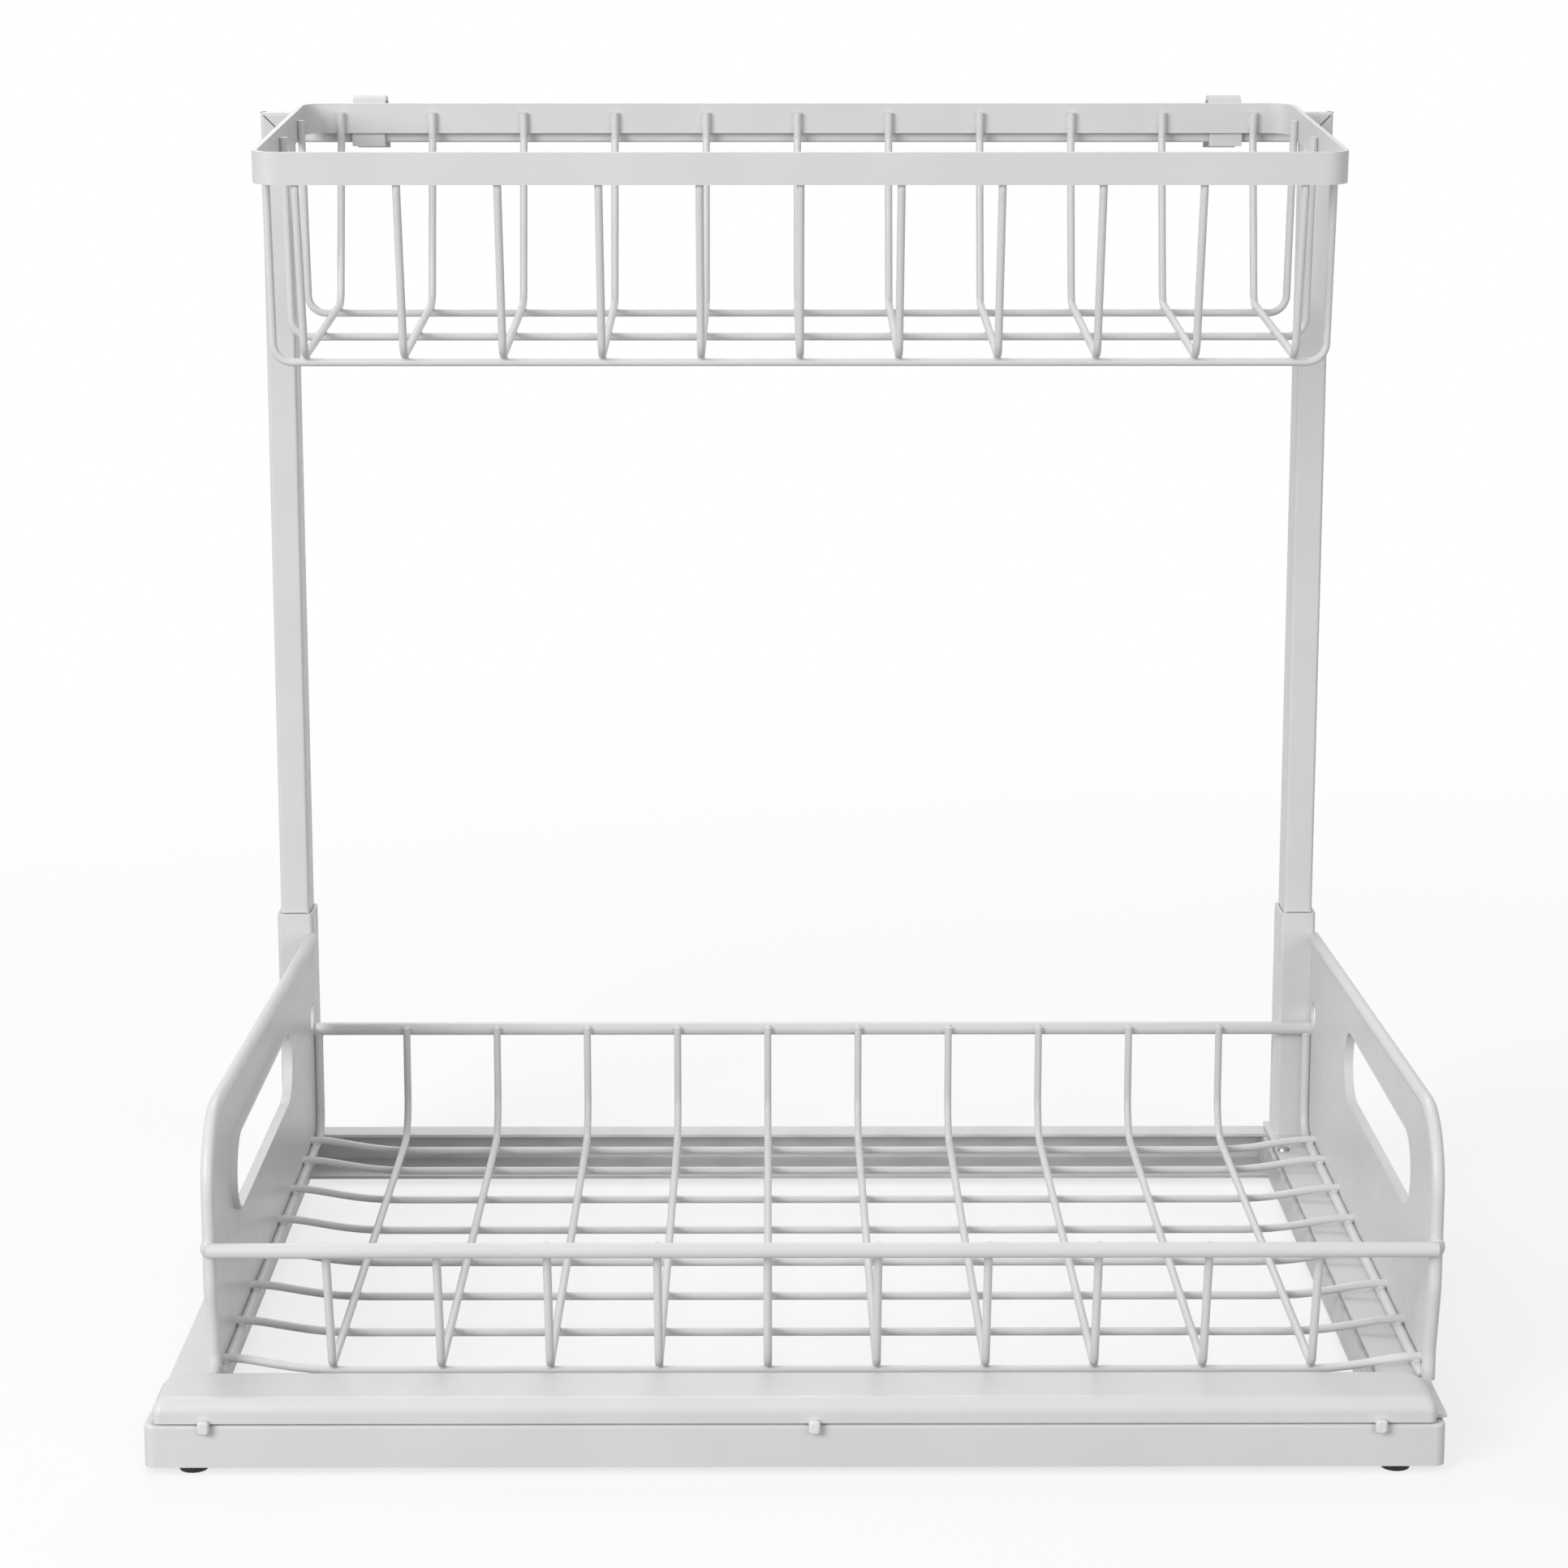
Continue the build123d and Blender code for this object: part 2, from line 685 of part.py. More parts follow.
with BuildPart() as top_bar:
    with BuildSketch(Plane.XZ.offset(-post_front_y)):
        with BuildLine():
            Polyline(
                (bar_left, frame_top),
                (bar_right, frame_top),
                (bar_right - post_width, frame_top - post_width),
                (bar_left + post_width, frame_top - post_width),
                close=True,
            )
        make_face()
    extrude(amount=-post_depth)
    fillet(edges().filter_by(Axis.X), post_corner)
    with BuildSketch(Plane.XZ.offset(-post_front_y - post_wall)):
        with BuildLine():
            Polyline(
                (bar_left + post_wall, frame_top - post_wall),
                (bar_right - post_wall, frame_top - post_wall),
                (bar_right - post_width + post_wall, frame_top - post_width + post_wall),
                (bar_left + post_width - post_wall, frame_top - post_width + post_wall),
                close=True,
            )
        make_face()
    extrude(amount=2 * post_wall - post_depth, mode=Mode.SUBTRACT)
save(top_bar.part, "top_bar")

# ---- Upper basket ----
# It hangs with its front a little low. Places on it are counted forward and down from the top
# of the rim's back, which follows from where the round of the hooks comes to rest on the bar.
tilt = radians(basket_tilt)
forward = Vector(0, -cos(tilt), -sin(tilt))
down = Vector(0, sin(tilt), -cos(tilt))
hook_outside = hook_inside / 2 + hook_sheet
seat_reach = hook_inside / 2 - hook_seat_gap - post_corner
seat_height = post_corner + sqrt(seat_reach**2 - (post_depth / 2 - post_corner) ** 2)
hook_centre = Vector((bar_left + bar_right) / 2, sleeve_y, frame_top - seat_height)
rim_back = hook_centre + forward * hook_outside - down * hook_level
rim_width = bar_right - bar_left - 2 * rim_end_inset


def basket_side_plane(x_offset):
    """Upright plane from front to back of the basket; its x is forward and its y is down."""
    return Plane(origin=rim_back + Vector(x_offset, 0, 0), x_dir=forward, z_dir=(1, 0, 0))


rim_plane = Plane(origin=rim_back + forward * (rim_depth / 2), x_dir=(1, 0, 0), z_dir=down)
with BuildPart() as basket_rim:
    with BuildSketch(rim_plane):
        RectangleRounded(rim_width, rim_depth, rim_corner)
        inside_width = rim_width - 2 * rim_sheet
        inside_depth = rim_depth - 2 * rim_sheet
        RectangleRounded(inside_width, inside_depth, rim_corner - rim_sheet, mode=Mode.SUBTRACT)
    extrude(amount=rim_height)
save(basket_rim.part, "basket_rim")


def hook(x_offset):
    """Flat strip on the back of the rim, arched over the bar with a short leg behind it."""
    with BuildPart() as strip:
        with BuildSketch(basket_side_plane(x_offset - hook_width / 2)):
            with Locations((-hook_outside, hook_level)):
                Circle(hook_outside)
                Circle(hook_inside / 2, mode=Mode.SUBTRACT)
            with Locations((-hook_outside, hook_level + hook_outside)):
                Rectangle(2 * hook_outside, 2 * hook_outside, mode=Mode.SUBTRACT)
            with Locations((-hook_sheet / 2, hook_level + hook_tab / 2)):
                Rectangle(hook_sheet, hook_tab)
            with Locations((hook_sheet / 2 - 2 * hook_outside, hook_level + hook_leg / 2)):
                Rectangle(hook_sheet, hook_leg)
        extrude(amount=hook_width)
    return strip.part


hook_reach = rim_width / 2 - hook_inset
save(hook(-hook_reach), "hook_left")
save(hook(hook_reach), "hook_right")

rim_inset = rim_sheet + thin_wire / 2 - weld_bite
rear_floor = rim_inset + upper_rear_draft
front_floor = rim_depth - rim_inset - upper_front_draft
upper_points = [
    (rim_inset, upper_wire_top),
    (rim_inset, upper_wire_drop),
    (rear_floor, upper_wire_depth),
    (front_floor, upper_wire_depth),
    (rim_depth - rim_inset, upper_wire_drop),
    (rim_depth - rim_inset, upper_wire_top),
]
upper_bends = [upper_shoulder_bend, upper_bottom_bend, upper_bottom_bend, upper_shoulder_bend]
upper_wire_pitch = (rim_width - 2 * upper_wire_margin) / (upper_wires - 1)
with BuildPart() as basket_wires:
    for number in range(upper_wires):
        offset_x = (number - (upper_wires - 1) / 2) * upper_wire_pitch
        add(bent_wire(basket_side_plane(offset_x), upper_points, upper_bends, thin_wire))
save(basket_wires.part, "basket_wires")

half_top = rim_width / 2 - rim_inset
half_floor = half_top - under_wire_draft
under_depth = upper_wire_depth + thin_wire - weld_bite
under_points = [
    (-half_top, upper_wire_top),
    (-half_floor, under_depth),
    (half_floor, under_depth),
    (half_top, upper_wire_top),
]
first_under = rear_floor + under_wire_inset
last_under = front_floor - under_wire_inset
with BuildPart() as basket_cross_wires:
    for number in range(under_wires):
        reach = first_under + (last_under - first_under) * number / (under_wires - 1)
        plane = Plane(origin=rim_back + forward * reach, x_dir=(1, 0, 0), z_dir=-forward)
        add(bent_wire(plane, under_points, [under_wire_bend] * 2, thin_wire))
save(basket_cross_wires.part, "basket_cross_wires")
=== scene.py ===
import json
import math

import bmesh
import bpy
from mathutils import Matrix, Vector


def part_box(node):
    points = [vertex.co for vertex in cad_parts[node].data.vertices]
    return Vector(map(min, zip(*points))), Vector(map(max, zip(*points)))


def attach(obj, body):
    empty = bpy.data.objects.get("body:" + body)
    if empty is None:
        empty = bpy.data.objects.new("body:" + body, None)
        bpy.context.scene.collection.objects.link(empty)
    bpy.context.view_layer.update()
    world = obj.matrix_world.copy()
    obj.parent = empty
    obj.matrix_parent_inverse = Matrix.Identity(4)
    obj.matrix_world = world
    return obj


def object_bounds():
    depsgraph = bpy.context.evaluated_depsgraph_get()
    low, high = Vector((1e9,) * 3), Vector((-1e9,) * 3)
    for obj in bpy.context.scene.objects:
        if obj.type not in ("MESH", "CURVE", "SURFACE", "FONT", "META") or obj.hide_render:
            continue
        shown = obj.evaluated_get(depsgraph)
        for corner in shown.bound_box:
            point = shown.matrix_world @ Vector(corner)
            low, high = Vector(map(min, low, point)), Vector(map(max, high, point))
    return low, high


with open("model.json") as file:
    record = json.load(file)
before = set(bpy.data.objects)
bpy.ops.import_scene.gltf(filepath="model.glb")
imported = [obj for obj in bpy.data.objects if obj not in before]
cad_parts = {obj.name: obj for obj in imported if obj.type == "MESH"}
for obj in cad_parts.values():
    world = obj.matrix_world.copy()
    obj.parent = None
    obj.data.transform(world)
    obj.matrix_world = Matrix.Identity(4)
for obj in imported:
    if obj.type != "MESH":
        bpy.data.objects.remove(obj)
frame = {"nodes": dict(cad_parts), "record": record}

cad_low, cad_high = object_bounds()

# ---- The photograph's camera ----
# One pinhole camera fits the edges of the unit in the photograph. It is framed on one unit.
CAMERA_PLACE = (-0.0073, -1.1841, 0.4015)
CAMERA_PITCH = math.radians(11.06)
CAMERA_YAW = math.radians(-0.23)
SENSOR = 36.0
FITTED_LENS = 50.3
FRAMING = 1.75

# ---- Sizes shared with the solids, in metres ----
MM = 0.001
THIN_WIRE = 2.5 * MM
SIDE_WIRE = 3.0 * MM
POST_WIDTH = 10.0 * MM
POST_DEPTH = 15.0 * MM
POST_CORNER = 1.2 * MM
COVER_SHEET = 1.0 * MM
COVER_RIDGE = 4.0 * MM
COVER_CORNER = 8.0 * MM

# The upper basket, measured along its own tilted axes from the back of the rim's top.
BASKET_TILT = math.radians(5.15)
RIM_SHEET = 1.5 * MM
RIM_HEIGHT = 9.9 * MM
RIM_DEPTH = 138.0 * MM
WIRE_TOP = 3.0 * MM
WIRE_DEPTH = 64.85 * MM
REAR_FLOOR = 19.95 * MM
FRONT_FLOOR = 125.85 * MM
UNDER_INSET = 5.1 * MM

# ---- Weld beads: radii along X, Y and Z ----
CROSSING_BEAD = (1.35 * MM, 1.35 * MM, 0.75 * MM)
REAR_RAIL_BEAD = (1.6 * MM, 0.9 * MM, 1.9 * MM)
FRONT_RAIL_BEAD = (1.6 * MM, 1.0 * MM, 2.0 * MM)
EDGE_ROD_BEAD = (2.4 * MM, 1.3 * MM, 3.0 * MM)
SIDE_TOP_BEAD = (1.9 * MM, 1.9 * MM, 1.0 * MM)
SIDE_BACK_BEAD = (1.5 * MM, 1.4 * MM, 1.5 * MM)
SIDE_CROSSING_BEAD = (1.5 * MM, 1.4 * MM, 0.8 * MM)
RIM_BEAD = (1.7 * MM, 0.5 * MM, 3.6 * MM)
BEAD_SUBDIVISIONS = 2
SAME_PLACE = 0.001 * MM

# ---- Lines of painted shade at the joints: radii ----
SEAM = 0.2 * MM
SLEEVE_GAP = 0.22 * MM
COVER_EDGE = 0.98 * COVER_SHEET
LINE_RESOLUTION = 4
COVER_EDGE_RESOLUTION = 6
CORNER_STEPS = 12

# ---- Colours, linear ----
PAINT = (0.70, 0.70, 0.695)
PAINT_SHADE = (0.665, 0.665, 0.66)
ZINC = (0.44, 0.45, 0.47)
NYLON = (0.78, 0.78, 0.75)
RUBBER = (0.018, 0.018, 0.019)
CLEAR = (0.88, 0.88, 0.875)
# SEAM_SHADE is painted shade: the colour of dark lines laid where the joints' grooves and gaps
# lie in shadow.
SEAM_SHADE = (0.10, 0.10, 0.10)

# ---- Surface grain: CELLS are noise cells a metre, HEIGHT is in metres ----
NOISE_LOW = 0.3
NOISE_HIGH = 0.7
PAINT_CLOUD_CELLS = 28.0
PAINT_SHEEN_CELLS = 190.0
PAINT_ROUGHNESS = (0.34, 0.46)
COAT_ROUGHNESS = 0.22
WAVE_CELLS = 22.0
WAVE_HEIGHT = 1.2 * MM
PEEL_SIZE = 1.1 * MM
PEEL_HEIGHT = 0.05 * MM
PEEL_STRENGTH = 0.35
ZINC_CLOUD_CELLS = 420.0
ZINC_SHEEN_CELLS = 900.0
ZINC_ROUGHNESS = (0.38, 0.55)
ZINC_DULLING = 0.82
ZINC_GRAIN_CELLS = 2600.0
ZINC_GRAIN_HEIGHT = 0.02 * MM
ZINC_GRAIN_STRENGTH = 0.3
MOULD_CLOUD_CELLS = 120.0
MOULD_SHEEN_CELLS = 600.0
MOULD_SMOOTHER = 0.05
MOULD_ROUGHER = 0.07
MOULD_DEEPENING = 0.9
MOULD_IOR = 1.42
MOULD_GRAIN_CELLS = 3000.0
MOULD_GRAIN_HEIGHT = 0.03 * MM

# ---- Floor and light ----
FLOOR_HALF = 6.0
FLOOR_SEEN = 0.93
FLOOR_BOUNCE = 0.26
FADE_START = 0.35
FADE_END = 1.3
NEAR_WHITE = 0.74
WORLD_LIGHT = 0.39
# Name, place, side of the square in metres and power in watts.
LAMPS = [
    ("key", (-1.4, -1.7, 0.95), 1.1, 36.0),
    ("fill", (1.1, -1.8, 0.6), 1.2, 10.0),
    ("top", (0.0, -0.1, 1.9), 1.2, 3.0),
    ("back", (-0.25, 1.6, 1.7), 1.2, 17.0),
]


# ---- Materials ----
def new_material(name):
    """A material with its Principled shader, ready for inputs."""
    material = bpy.data.materials.new(name)
    material.use_nodes = True
    return material, material.node_tree, material.node_tree.nodes["Principled BSDF"]


def noise(tree, cells, detail=3.0):
    """Noise in the object's own metres."""
    coordinates = tree.nodes.new("ShaderNodeTexCoord")
    texture = tree.nodes.new("ShaderNodeTexNoise")
    texture.inputs["Scale"].default_value = cells
    texture.inputs["Detail"].default_value = detail
    tree.links.new(coordinates.outputs["Object"], texture.inputs["Vector"])
    return texture.outputs["Fac"]


def map_range(tree, source, low, high, start=0.0, end=1.0):
    """Maps the range from start to end onto the range from low to high."""
    node = tree.nodes.new("ShaderNodeMapRange")
    node.inputs["From Min"].default_value = start
    node.inputs["From Max"].default_value = end
    node.inputs["To Min"].default_value = low
    node.inputs["To Max"].default_value = high
    tree.links.new(source, node.inputs["Value"])
    return node


def spread(tree, source, low, high):
    """Maps the middle of a noise onto the range from low to high."""
    return map_range(tree, source, low, high, NOISE_LOW, NOISE_HIGH).outputs["Result"]


def cloudy_colour(tree, shader, cells, first, second):
    """Base colour that drifts between two colours."""
    mix = tree.nodes.new("ShaderNodeMix")
    mix.data_type = "RGBA"
    mix.inputs["A"].default_value = (*first, 1)
    mix.inputs["B"].default_value = (*second, 1)
    tree.links.new(spread(tree, noise(tree, cells), 0.0, 1.0), mix.inputs["Factor"])
    tree.links.new(mix.outputs["Result"], shader.inputs["Base Color"])


def bump(tree, shader, heights):
    """Chains bumps onto a shader; each is (height, distance in metres, strength)."""
    previous = None
    for height, distance, strength in heights:
        node = tree.nodes.new("ShaderNodeBump")
        node.inputs["Distance"].default_value = distance
        node.inputs["Strength"].default_value = strength
        tree.links.new(height, node.inputs["Height"])
        if previous is not None:
            tree.links.new(previous, node.inputs["Normal"])
        previous = node.outputs["Normal"]
    tree.links.new(previous, shader.inputs["Normal"])


def powder_coat(name, waviness, gloss, coat):
    """White powder paint: fine orange peel, faint cloudiness and a soft sheen."""
    material, tree, shader = new_material(name)
    cloudy_colour(tree, shader, PAINT_CLOUD_CELLS, PAINT, PAINT_SHADE)
    sheen = spread(tree, noise(tree, PAINT_SHEEN_CELLS, 2.0), *PAINT_ROUGHNESS)
    tree.links.new(sheen, shader.inputs["Roughness"])
    shader.inputs["Specular IOR Level"].default_value = gloss
    shader.inputs["Coat Weight"].default_value = coat
    shader.inputs["Coat Roughness"].default_value = COAT_ROUGHNESS
    waves = noise(tree, WAVE_CELLS, 1.0)
    peel = noise(tree, 1 / PEEL_SIZE, 1.5)
    bump(tree, shader, [(waves, WAVE_HEIGHT, waviness), (peel, PEEL_HEIGHT, PEEL_STRENGTH)])
    return material


def zinc_plate(name):
    """Bright zinc on pins, rivets and hangers, with a fine grain."""
    material, tree, shader = new_material(name)
    dull = tuple(ZINC_DULLING * channel for channel in ZINC)
    cloudy_colour(tree, shader, ZINC_CLOUD_CELLS, ZINC, dull)
    shader.inputs["Metallic"].default_value = 1.0
    sheen = spread(tree, noise(tree, ZINC_SHEEN_CELLS), *ZINC_ROUGHNESS)
    tree.links.new(sheen, shader.inputs["Roughness"])
    grain = noise(tree, ZINC_GRAIN_CELLS)
    bump(tree, shader, [(grain, ZINC_GRAIN_HEIGHT, ZINC_GRAIN_STRENGTH)])
    return material


def moulded(name, colour, rough, grain_strength, transmission=0.0):
    """Moulded plastic or rubber with a fine grain."""
    material, tree, shader = new_material(name)
    deeper = tuple(MOULD_DEEPENING * channel for channel in colour)
    cloudy_colour(tree, shader, MOULD_CLOUD_CELLS, colour, deeper)
    patches = noise(tree, MOULD_SHEEN_CELLS)
    sheen = spread(tree, patches, rough - MOULD_SMOOTHER, rough + MOULD_ROUGHER)
    tree.links.new(sheen, shader.inputs["Roughness"])
    shader.inputs["Transmission Weight"].default_value = transmission
    shader.inputs["IOR"].default_value = MOULD_IOR
    grain = noise(tree, MOULD_GRAIN_CELLS)
    bump(tree, shader, [(grain, MOULD_GRAIN_HEIGHT, grain_strength)])
    return material


painted_sheet = powder_coat("painted_sheet", waviness=0.12, gloss=0.3, coat=0.06)
painted_wire = powder_coat("painted_wire", waviness=0.03, gloss=0.4, coat=0.08)
painted_clip = powder_coat("painted_clip", waviness=0.03, gloss=0.05, coat=0.0)
zinc_steel = zinc_plate("zinc_steel")
nylon = moulded("nylon", NYLON, rough=0.42, grain_strength=0.2)
black_rubber = moulded("black_rubber", RUBBER, rough=0.62, grain_strength=0.5)
soft_clear = moulded("soft_clear", CLEAR, rough=0.3, grain_strength=0.1, transmission=0.12)
# seam_shade paints the shade in the frame's joints as dark lines.
seam_shade = moulded("seam_shade", SEAM_SHADE, rough=0.6, grain_strength=0.3)

SHEET_NODES = {
    "base_front", "base_rear", "rail_left", "rail_right", "front_cover", "side_panel_left",
    "side_panel_right", "sleeve_left", "sleeve_right", "post_left", "post_right", "top_bar",
    "basket_rim",
}
CLIP_NODES = {"hook_left", "hook_right"}
slot_of = {part["node"]: part["material_slot"] for part in frame["record"]["subparts"]}
material_of_slot = {
    "white_steel": painted_wire,
    "zinc_steel": zinc_steel,
    "nylon": nylon,
    "black_rubber": black_rubber,
    "soft_clear": soft_clear,
}
for name, node in frame["nodes"].items():
    material = material_of_slot[slot_of[name]]
    if name in SHEET_NODES:
        material = painted_sheet
    if name in CLIP_NODES:
        material = painted_clip
    node.data.materials.clear()
    node.data.materials.append(material)


# ---- Helpers for the added pieces ----
def middle(node):
    low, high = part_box(node)
    return (Vector(low) + Vector(high)) / 2


def islands(node):
    """Box of each separate solid of a node, as (low, high) corners."""
    mesh = bmesh.new()
    mesh.from_mesh(frame["nodes"][node].data)
    bmesh.ops.remove_doubles(mesh, verts=mesh.verts, dist=SAME_PLACE)
    left = set(mesh.verts)
    boxes = []
    while left:
        reached = {left.pop()}
        edge_of_reach = list(reached)
        while edge_of_reach:
            vertex = edge_of_reach.pop()
            for edge in vertex.link_edges:
                other = edge.other_vert(vertex)
                if other in left:
                    left.discard(other)
                    reached.add(other)
                    edge_of_reach.append(other)
        places = [vertex.co for vertex in reached]
        low = Vector([min(place[axis] for place in places) for axis in range(3)])
        high = Vector([max(place[axis] for place in places) for axis in range(3)])
        boxes.append((low, high))
    mesh.free()
    return sorted(boxes, key=lambda corners: tuple(corners[0]))


def beads(name, body, places):
    """One mesh of small smooth beads: each place is (centre, radii, turn about X)."""
    mesh = bmesh.new()
    for centre, radii, turn in places:
        matrix = (
            Matrix.Translation(centre)
            @ Matrix.Rotation(turn, 4, "X")
            @ Matrix.Diagonal((*radii, 1.0))
        )
        bmesh.ops.create_icosphere(
            mesh, subdivisions=BEAD_SUBDIVISIONS, radius=1.0, matrix=matrix
        )
    for face in mesh.faces:
        face.smooth = True
    data = bpy.data.meshes.new(name)
    mesh.to_mesh(data)
    mesh.free()
    data.materials.append(painted_wire)
    piece = bpy.data.objects.new(name, data)
    bpy.context.scene.collection.objects.link(piece)
    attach(piece, body)


def round_lines(name, radius, lines, material, closed=True, resolution=LINE_RESOLUTION):
    """One curve object of round lines on the drawer; each line is a list of places."""
    curve = bpy.data.curves.new(name, "CURVE")
    curve.dimensions = "3D"
    curve.bevel_depth = radius
    curve.bevel_resolution = resolution
    for places in lines:
        line = curve.splines.new("POLY")
        line.points.add(len(places) - 1)
        line.use_cyclic_u = closed
        for point, place in zip(line.points, places):
            point.co = (*place, 1)
    curve.materials.append(material)
    piece = bpy.data.objects.new(name, curve)
    bpy.context.scene.collection.objects.link(piece)
    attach(piece, "drawer")


# ---- Weld beads of the drawer ----
cross_middles = [(low.y + high.y) / 2 for low, high in islands("cross_wires")]
front_seat_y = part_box("front_rail")[1][1]
front_seat_z = middle("front_rail").z
rear_seat_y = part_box("rear_rail")[0][1]
rear_rail = middle("rear_rail")

drawer_beads = []
for wire in sorted(name for name in frame["nodes"] if name.startswith("floor_wire")):
    x = middle(wire).x
    crossing_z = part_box(wire)[0][2]
    for y in cross_middles:
        drawer_beads.append((Vector((x, y, crossing_z)), CROSSING_BEAD, 0.0))
    drawer_beads.append((Vector((x, rear_seat_y, rear_rail.z)), REAR_RAIL_BEAD, 0.0))
    drawer_beads.append((Vector((x, front_seat_y, front_seat_z)), FRONT_RAIL_BEAD, 0.0))
for side in ("left", "right"):
    rod_x = middle(f"edge_rod_{side}").x
    drawer_beads.append((Vector((rod_x, front_seat_y, front_seat_z)), EDGE_ROD_BEAD, 0.0))
    wire_low, wire_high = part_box(f"side_wire_{side}")
    wire_x = middle(f"side_wire_{side}").x
    drawer_beads.append((Vector((wire_x, rear_rail.y, wire_high[2])), SIDE_TOP_BEAD, 0.0))
    back_z = SIDE_WIRE / 2 + wire_low[2]
    drawer_beads.append((Vector((wire_x, wire_low[1], back_z)), SIDE_BACK_BEAD, 0.0))
    side_top = wire_low[2] + SIDE_WIRE
    for y in cross_middles:
        drawer_beads.append((Vector((wire_x, y, side_top)), SIDE_CROSSING_BEAD, 0.0))
beads("drawer_welds", "drawer", drawer_beads)

# ---- Weld beads of the upper basket ----
# The basket hangs with its front low. Places on it are ahead of and below the rim's back.
forward = Vector((0, -math.cos(BASKET_TILT), -math.sin(BASKET_TILT)))
down = Vector((0, math.sin(BASKET_TILT), -math.cos(BASKET_TILT)))
rim_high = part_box("basket_rim")[1]
rim_back = Vector((0, rim_high[1] - RIM_HEIGHT * down.y, rim_high[2]))


def in_basket(x, ahead, below):
    return Vector((x, 0, 0)) + rim_back + forward * ahead + down * below


under_places = [
    REAR_FLOOR + UNDER_INSET,
    (REAR_FLOOR + FRONT_FLOOR) / 2,
    FRONT_FLOOR - UNDER_INSET,
]
basket_beads = []
for low, high in islands("basket_wires"):
    x = (low.x + high.x) / 2
    for ahead in under_places:
        place = in_basket(x, ahead, WIRE_DEPTH + THIN_WIRE / 2)
        basket_beads.append((place, CROSSING_BEAD, BASKET_TILT))
    for ahead in (RIM_SHEET, RIM_DEPTH - RIM_SHEET):
        place = in_basket(x, ahead, (WIRE_TOP + RIM_HEIGHT) / 2)
        basket_beads.append((place, RIM_BEAD, BASKET_TILT))
beads("basket_welds", "basket", basket_beads)

# ---- The front cover's top edge ----
# Paint fills a narrow gap under the cover's round edge: one end, the rear, the other end.
cover_low, cover_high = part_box("front_cover")
edge_inset = COVER_RIDGE - (COVER_RIDGE - COVER_SHEET) * math.cos(math.pi / 4)
edge_turn = COVER_CORNER - edge_inset
edge_front = cover_low[1] + COVER_RIDGE - COVER_EDGE
edge_rear = cover_high[1] - edge_inset
edge_z = cover_high[2] - edge_inset


def cover_corner(end_x, inward, angle):
    """A place on a rear corner of the edge: angle is 0 at the end and a quarter at the rear."""
    return (
        end_x + inward * edge_turn * (1 - math.cos(angle)),
        edge_rear - edge_turn * (1 - math.sin(angle)),
        edge_z,
    )


edge_left = cover_low[0] + edge_inset
edge_right = cover_high[0] - edge_inset
quarter = [math.pi / 2 * step / CORNER_STEPS for step in range(CORNER_STEPS + 1)]
edge_places = [(edge_left, edge_front, edge_z)]
edge_places += [cover_corner(edge_left, 1, angle) for angle in quarter]
edge_places += [cover_corner(edge_right, -1, angle) for angle in reversed(quarter)]
edge_places.append((edge_right, edge_front, edge_z))
round_lines(
    "cover_edge", COVER_EDGE, [edge_places], painted_sheet,
    closed=False, resolution=COVER_EDGE_RESOLUTION,
)

# ---- Joints of the frame: dark lines of painted shade in the mitre seams, and in the gaps between posts and sleeves ----
# Outline of a post or bar as (along, back) from its outer front corner, with its edges eased.
TUBE_OUTLINE = [
    (POST_CORNER, 0), (POST_WIDTH - POST_CORNER, 0),
    (POST_WIDTH, POST_CORNER), (POST_WIDTH, POST_DEPTH - POST_CORNER),
    (POST_WIDTH - POST_CORNER, POST_DEPTH), (POST_CORNER, POST_DEPTH),
    (0, POST_DEPTH - POST_CORNER), (0, POST_CORNER),
]

# Each mitre gets a dark ring of painted shade round the tube, standing in for the shadow in the
# joint's groove.
bar_low, bar_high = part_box("top_bar")
mitre_shade_rings = []
for outer_x, inward in ((bar_low[0], 1), (bar_high[0], -1)):
    mitre_shade_rings.append([
        (outer_x + inward * along, bar_low[1] + back, bar_high[2] - along)
        for along, back in TUBE_OUTLINE
    ])
round_lines("mitre_seam_shade", SEAM, mitre_shade_rings, seam_shade)

# Each post gets a dark ring of painted shade at the sleeve's top, standing in for the shadow in
# the gap between post and sleeve.
sleeve_gap_shade_rings = []
for side in ("left", "right"):
    post_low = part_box(f"post_{side}")[0]
    sleeve_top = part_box(f"sleeve_{side}")[1][2]
    sleeve_gap_shade_rings.append([
        (post_low[0] + along, post_low[1] + back, sleeve_top) for along, back in TUBE_OUTLINE
    ])
round_lines("sleeve_gap_shade", SLEEVE_GAP, sleeve_gap_shade_rings, seam_shade)


# ---- Floor ----
def math_node(tree, operation, first, second):
    node = tree.nodes.new("ShaderNodeMath")
    node.operation = operation
    tree.links.new(first, node.inputs[0])
    tree.links.new(second, node.inputs[1])
    return node.outputs[0]


def background_rays(tree):
    """1 for rays that show the background: straight, mirrored or through clear plastic."""
    path = tree.nodes.new("ShaderNodeLightPath")
    total = path.outputs["Is Camera Ray"]
    for name in ("Is Glossy Ray", "Is Transmission Ray"):
        total = math_node(tree, "MAXIMUM", total, path.outputs[name])
    return total


floor_mesh = bpy.data.meshes.new("floor")
corners = [(-FLOOR_HALF, -FLOOR_HALF, 0), (FLOOR_HALF, -FLOOR_HALF, 0)]
corners += [(FLOOR_HALF, FLOOR_HALF, 0), (-FLOOR_HALF, FLOOR_HALF, 0)]
floor_mesh.from_pydata(corners, [], [(0, 1, 2, 3)])
floor = bpy.data.objects.new("floor", floor_mesh)
bpy.context.scene.collection.objects.link(floor)

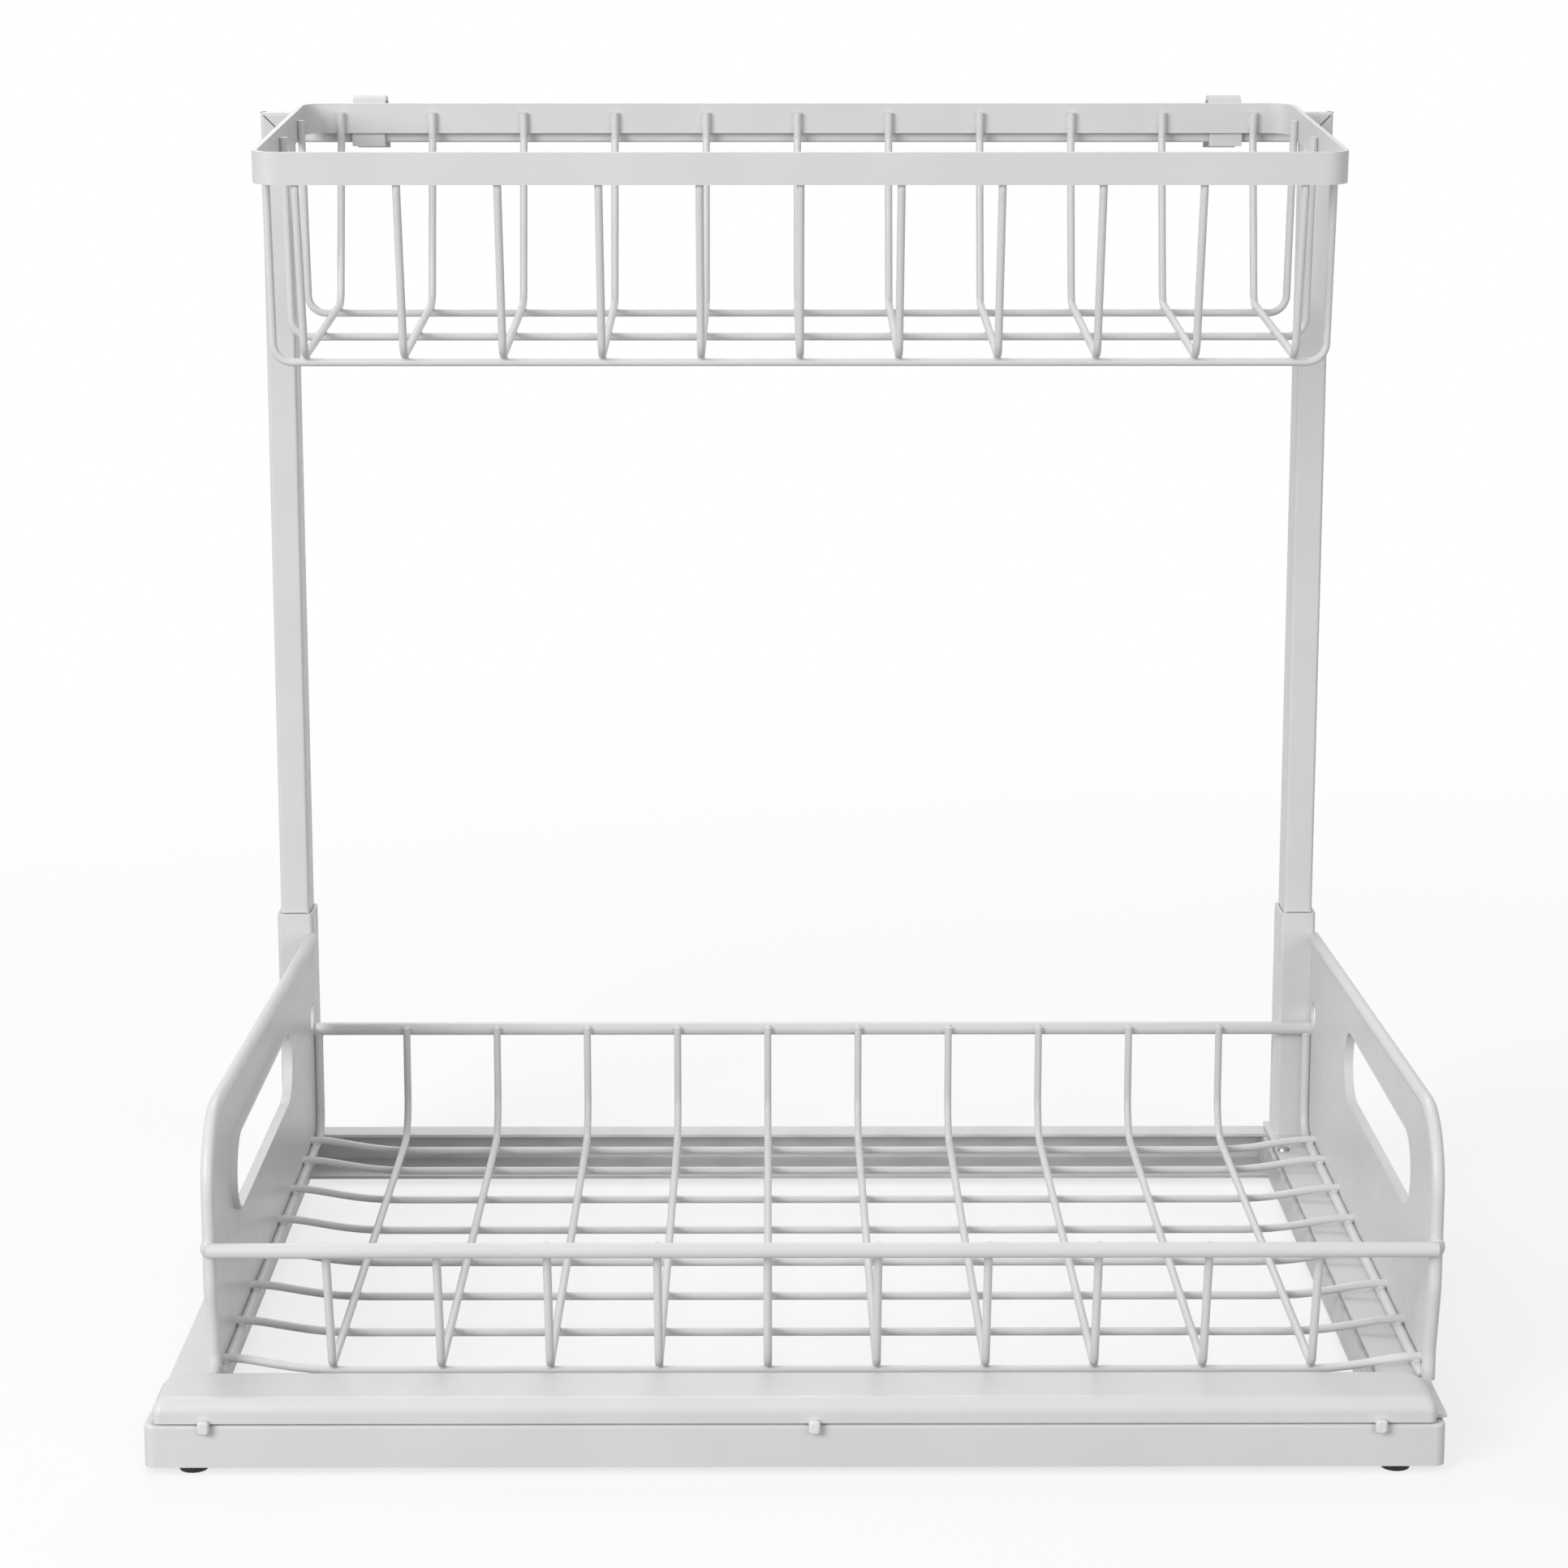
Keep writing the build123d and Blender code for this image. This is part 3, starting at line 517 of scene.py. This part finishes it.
# A matt floor that takes the shadow, and fades to the background's white further out.
floor_material, tree, shader = new_material("floor")
rays = background_rays(tree)
shade = map_range(tree, rays, FLOOR_BOUNCE, FLOOR_SEEN)
tree.links.new(shade.outputs["Result"], shader.inputs["Base Color"])
shader.inputs["Roughness"].default_value = 1.0
shader.inputs["Specular IOR Level"].default_value = 0.0
coordinates = tree.nodes.new("ShaderNodeTexCoord")
distance = tree.nodes.new("ShaderNodeVectorMath")
distance.operation = "LENGTH"
tree.links.new(coordinates.outputs["Object"], distance.inputs[0])
fade = map_range(tree, distance.outputs["Value"], NEAR_WHITE, 1.0, FADE_START, FADE_END)
fade.interpolation_type = "SMOOTHSTEP"
white_share = math_node(tree, "MULTIPLY", fade.outputs["Result"], rays)
white = tree.nodes.new("ShaderNodeEmission")
mix = tree.nodes.new("ShaderNodeMixShader")
tree.links.new(white_share, mix.inputs[0])
tree.links.new(shader.outputs[0], mix.inputs[1])
tree.links.new(white.outputs[0], mix.inputs[2])
tree.links.new(mix.outputs[0], tree.nodes["Material Output"].inputs["Surface"])
floor_mesh.materials.append(floor_material)

# ---- World and lamps ----
world = bpy.data.worlds.new("studio")
bpy.context.scene.world = world
world.use_nodes = True
background = world.node_tree.nodes["Background"]
background.inputs["Color"].default_value = (1, 1, 1, 1)
strength = map_range(world.node_tree, background_rays(world.node_tree), WORLD_LIGHT, 1.0)
world.node_tree.links.new(strength.outputs["Result"], background.inputs["Strength"])

target = (cad_low + cad_high) / 2
for name, place, size, power in LAMPS:
    lamp = bpy.data.lights.new(name, "AREA")
    lamp.size = size
    lamp.energy = power
    holder = bpy.data.objects.new(name, lamp)
    holder.location = place
    holder.rotation_euler = (target - Vector(place)).to_track_quat("-Z", "Y").to_euler()
    bpy.context.scene.collection.objects.link(holder)

# ---- Camera ----
camera_data = bpy.data.cameras.new("camera")
camera_data.sensor_width = SENSOR
camera_data.lens = FITTED_LENS * FRAMING
camera = bpy.data.objects.new("camera", camera_data)
camera.location = CAMERA_PLACE
camera.rotation_euler = (math.pi / 2 - CAMERA_PITCH, 0, CAMERA_YAW)
bpy.context.scene.collection.objects.link(camera)
bpy.context.scene.camera = camera
bpy.context.scene.view_settings.view_transform = "Standard"
